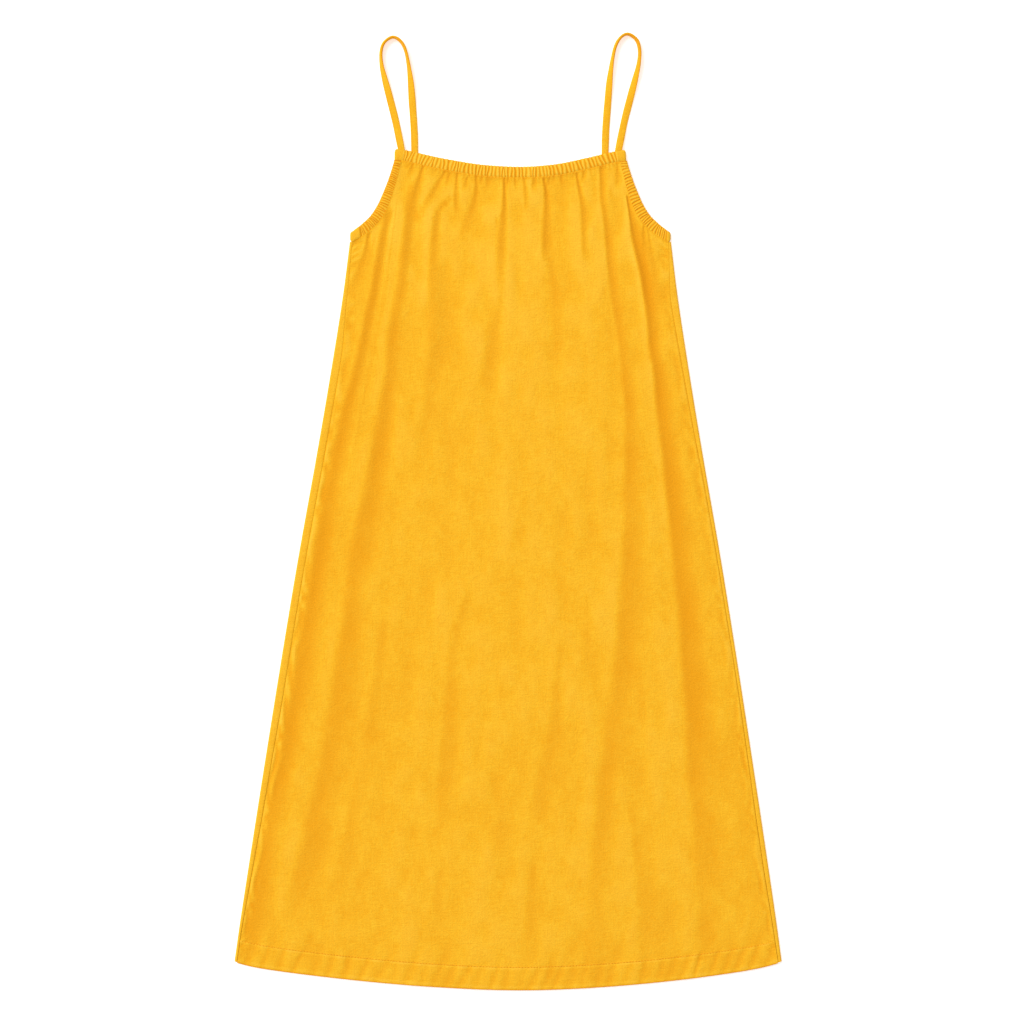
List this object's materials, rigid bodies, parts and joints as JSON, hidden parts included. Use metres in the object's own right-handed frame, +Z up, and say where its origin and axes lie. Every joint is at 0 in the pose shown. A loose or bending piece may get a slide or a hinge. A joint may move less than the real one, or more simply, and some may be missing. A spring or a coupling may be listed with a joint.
{
  "type": "slip dress",
  "caption": "Midi slip dress laid flat: A-line cotton body, gathered elastic neckline and armholes, two narrow looped straps.",
  "frame": {"origin": "on the surface the dress lies on, at the middle of its width and length", "axes": "+Z up, out of the front of the dress, +Y from the hem to the straps, +X to the viewer's right"},
  "size_m": [0.7117, 1.2445, 0.0091],
  "materials": {
    "front_cotton": "plain-weave cotton with a slubby hand, matt, marigold yellow",
    "back_cotton": "the same plain-weave cotton, matt",
    "casing_cotton": "the same cotton, finely gathered on elastic",
    "strap_cotton": "the same cotton, a turned flat tube"
  },
  "bodies": {
    "root": {"front_panel": "front_cotton", "back_panel": "back_cotton", "front_neck_casing": "casing_cotton", "back_neck_casing": "casing_cotton", "armhole_casing_left": "casing_cotton", "armhole_casing_right": "casing_cotton", "strap_left": "strap_cotton", "strap_right": "strap_cotton"}
  },
  "joints": []
}
